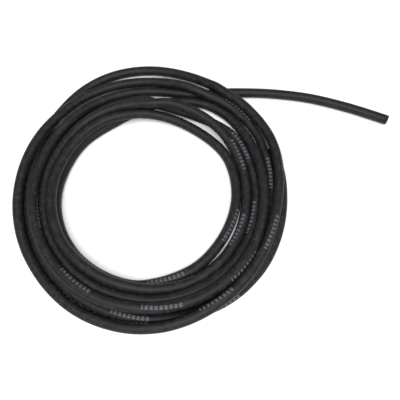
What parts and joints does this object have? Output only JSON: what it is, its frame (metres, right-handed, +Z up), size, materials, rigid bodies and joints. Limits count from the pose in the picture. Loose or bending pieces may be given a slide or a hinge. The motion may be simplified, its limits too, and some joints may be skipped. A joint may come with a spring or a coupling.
{
  "type": "flexible hose",
  "caption": "Plain black rubber hose lying flat in a round stacked coil, with one square-cut end running out to the side.",
  "frame": {"origin": "on the floor, under the middle of the outline of the coil and its free end together", "axes": "+X from the coil's middle towards the side on which the free end lies, +Y from the middle towards the part of the coil that the free end leaves, +Z up, the coil's own axis upright"},
  "size_m": [0.4908, 0.339, 0.0237],
  "materials": {
    "hose_rubber": "matte black extruded rubber with a soft sheen, lightly rubbed and dusty"
  },
  "bodies": {
    "root": {"hose_coil": "hose_rubber", "hose_tail": "hose_rubber"}
  },
  "joints": []
}
